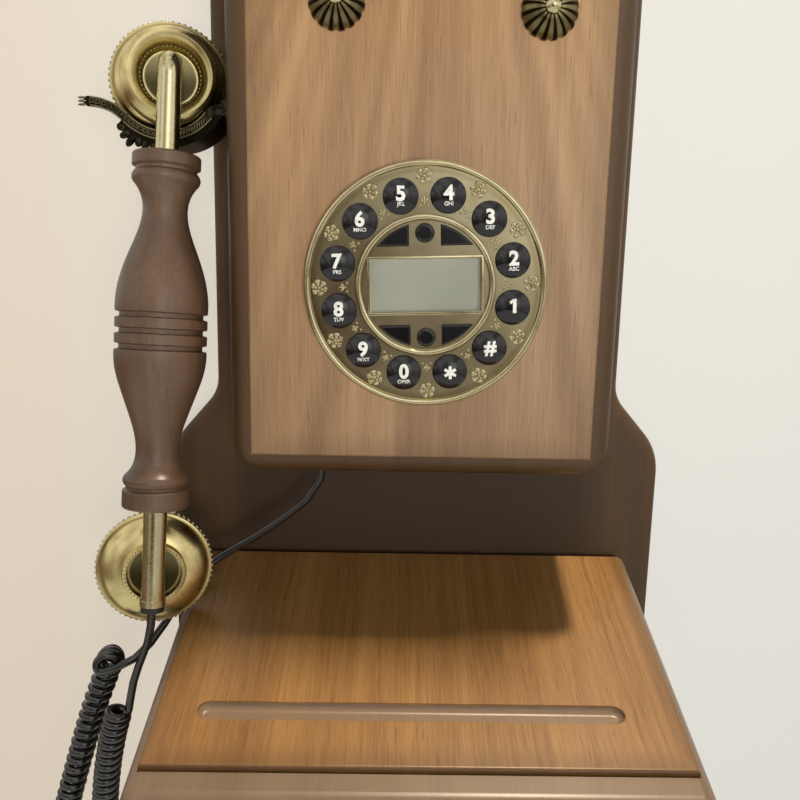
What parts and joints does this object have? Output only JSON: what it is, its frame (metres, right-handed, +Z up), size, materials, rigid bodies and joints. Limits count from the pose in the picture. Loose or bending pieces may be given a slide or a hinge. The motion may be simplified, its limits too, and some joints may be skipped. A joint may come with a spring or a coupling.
{
  "type": "telephone",
  "caption": "Wall telephone in a wooden case with push-button dial, writing shelf, turned wood and brass handset on a side hook, and curly cord.",
  "frame": {"origin": "on the back of the backboard, midway between its two hanger plates", "axes": "+Y into the wall, so the front faces -Y; +Z up; +X to the viewer's right, seen from the front"},
  "size_m": [0.3112, 0.152, 0.5697],
  "materials": {
    "wood_dark": "satin lacquer",
    "wood_panel": "matt veneer",
    "wood_slab": "satin veneer",
    "wood_grip": "satin",
    "wood_base": "raw plywood",
    "brass_aged": "aged, satin",
    "brass_bright": "polished",
    "bronze": "dark patina",
    "steel": "plated",
    "black_gloss": "gloss",
    "black_matt": "matt",
    "rubber_black": "matt",
    "rubber_grey": "matt",
    "board_green": "solder mask",
    "window": "clear",
    "display": "matt grey green",
    "cord": "semi gloss"
  },
  "bodies": {
    "housing": {"backboard": "wood_dark", "bell_left": "brass_aged", "bell_right": "brass_aged", "bell_screws": "brass_bright", "board_pillars": "black_matt", "case_frame": "wood_dark", "case_screws": "steel", "cord_coil": "cord", "cord_grommet": "rubber_black", "cord_tail": "cord", "cornice": "wood_dark", "dial_housing": "black_matt", "dial_plate": "brass_aged", "display_module": "display", "display_window": "window", "front_panel": "wood_panel", "hanger_plates": "steel", "hook_bracket": "steel", "hook_pin": "steel", "hook_switch": "black_matt", "key_board": "board_green", "keypad_mat": "rubber_grey", "line_jack": "black_matt", "main_board": "board_green", "ringer_speaker": "black_matt", "shelf_floor": "wood_base", "shelf_frame": "wood_dark", "writing_slab": "wood_slab"},
    "handset": {"handset_grip": "wood_grip", "handset_rod": "brass_bright", "ear_cup": "brass_aged", "ear_cap": "black_gloss", "ear_capsule": "steel", "mouth_cup": "brass_aged", "mouth_cap": "black_gloss", "mouth_capsule": "steel", "rod_end_ring": "brass_bright", "cord_bushing": "black_matt", "cord_lead": "cord"},
    "hook": {"cradle_hook": "bronze"},
    "button_bottom_centre_body": {"button_bottom_centre": "black_gloss"},
    "button_bottom_left_body": {"button_bottom_left": "black_gloss"},
    "button_bottom_right_body": {"button_bottom_right": "black_gloss"},
    "button_top_centre_body": {"button_top_centre": "black_gloss"},
    "button_top_left_body": {"button_top_left": "black_gloss"},
    "button_top_right_body": {"button_top_right": "black_gloss"},
    "key_0_body": {"key_0": "black_gloss"},
    "key_1_body": {"key_1": "black_gloss"},
    "key_2_body": {"key_2": "black_gloss"},
    "key_3_body": {"key_3": "black_gloss"},
    "key_4_body": {"key_4": "black_gloss"},
    "key_5_body": {"key_5": "black_gloss"},
    "key_6_body": {"key_6": "black_gloss"},
    "key_7_body": {"key_7": "black_gloss"},
    "key_8_body": {"key_8": "black_gloss"},
    "key_9_body": {"key_9": "black_gloss"},
    "key_hash_body": {"key_hash": "black_gloss"},
    "key_star_body": {"key_star": "black_gloss"}
  },
  "joints": [
    {"name": "handset_lift", "type": "slide", "parent": "housing", "child": "handset", "axis": [0, 0, 1], "range_m": [0, 0.06]},
    {"name": "hook_pivot", "type": "hinge", "parent": "housing", "child": "hook", "pos_m": [-0.062, -0.043, -0.0879], "axis": [0, 1, 0], "range_deg": [0, 6.2]},
    {"name": "button_bottom_centre_press", "type": "slide", "parent": "housing", "child": "button_bottom_centre_body", "axis": [0, 1, 0], "range_m": [0, 0.0018], "stiffness_N_per_m": 600, "springref_m": -0.0008},
    {"name": "button_bottom_left_press", "type": "slide", "parent": "housing", "child": "button_bottom_left_body", "axis": [0, 1, 0], "range_m": [0, 0.0018], "stiffness_N_per_m": 600, "springref_m": -0.0008},
    {"name": "button_bottom_right_press", "type": "slide", "parent": "housing", "child": "button_bottom_right_body", "axis": [0, 1, 0], "range_m": [0, 0.0018], "stiffness_N_per_m": 600, "springref_m": -0.0008},
    {"name": "button_top_centre_press", "type": "slide", "parent": "housing", "child": "button_top_centre_body", "axis": [0, 1, 0], "range_m": [0, 0.0018], "stiffness_N_per_m": 600, "springref_m": -0.0008},
    {"name": "button_top_left_press", "type": "slide", "parent": "housing", "child": "button_top_left_body", "axis": [0, 1, 0], "range_m": [0, 0.0018], "stiffness_N_per_m": 600, "springref_m": -0.0008},
    {"name": "button_top_right_press", "type": "slide", "parent": "housing", "child": "button_top_right_body", "axis": [0, 1, 0], "range_m": [0, 0.0018], "stiffness_N_per_m": 600, "springref_m": -0.0008},
    {"name": "key_0_press", "type": "slide", "parent": "housing", "child": "key_0_body", "axis": [0, 1, 0], "range_m": [0, 0.0018], "stiffness_N_per_m": 600, "springref_m": -0.0008},
    {"name": "key_1_press", "type": "slide", "parent": "housing", "child": "key_1_body", "axis": [0, 1, 0], "range_m": [0, 0.0018], "stiffness_N_per_m": 600, "springref_m": -0.0008},
    {"name": "key_2_press", "type": "slide", "parent": "housing", "child": "key_2_body", "axis": [0, 1, 0], "range_m": [0, 0.0018], "stiffness_N_per_m": 600, "springref_m": -0.0008},
    {"name": "key_3_press", "type": "slide", "parent": "housing", "child": "key_3_body", "axis": [0, 1, 0], "range_m": [0, 0.0018], "stiffness_N_per_m": 600, "springref_m": -0.0008},
    {"name": "key_4_press", "type": "slide", "parent": "housing", "child": "key_4_body", "axis": [0, 1, 0], "range_m": [0, 0.0018], "stiffness_N_per_m": 600, "springref_m": -0.0008},
    {"name": "key_5_press", "type": "slide", "parent": "housing", "child": "key_5_body", "axis": [0, 1, 0], "range_m": [0, 0.0018], "stiffness_N_per_m": 600, "springref_m": -0.0008},
    {"name": "key_6_press", "type": "slide", "parent": "housing", "child": "key_6_body", "axis": [0, 1, 0], "range_m": [0, 0.0018], "stiffness_N_per_m": 600, "springref_m": -0.0008},
    {"name": "key_7_press", "type": "slide", "parent": "housing", "child": "key_7_body", "axis": [0, 1, 0], "range_m": [0, 0.0018], "stiffness_N_per_m": 600, "springref_m": -0.0008},
    {"name": "key_8_press", "type": "slide", "parent": "housing", "child": "key_8_body", "axis": [0, 1, 0], "range_m": [0, 0.0018], "stiffness_N_per_m": 600, "springref_m": -0.0008},
    {"name": "key_9_press", "type": "slide", "parent": "housing", "child": "key_9_body", "axis": [0, 1, 0], "range_m": [0, 0.0018], "stiffness_N_per_m": 600, "springref_m": -0.0008},
    {"name": "key_hash_press", "type": "slide", "parent": "housing", "child": "key_hash_body", "axis": [0, 1, 0], "range_m": [0, 0.0018], "stiffness_N_per_m": 600, "springref_m": -0.0008},
    {"name": "key_star_press", "type": "slide", "parent": "housing", "child": "key_star_body", "axis": [0, 1, 0], "range_m": [0, 0.0018], "stiffness_N_per_m": 600, "springref_m": -0.0008}
  ],
  "couplings": [
    {"joint": "hook_pivot", "follows": "handset_lift", "rad_per_m": 1.7453}
  ]
}
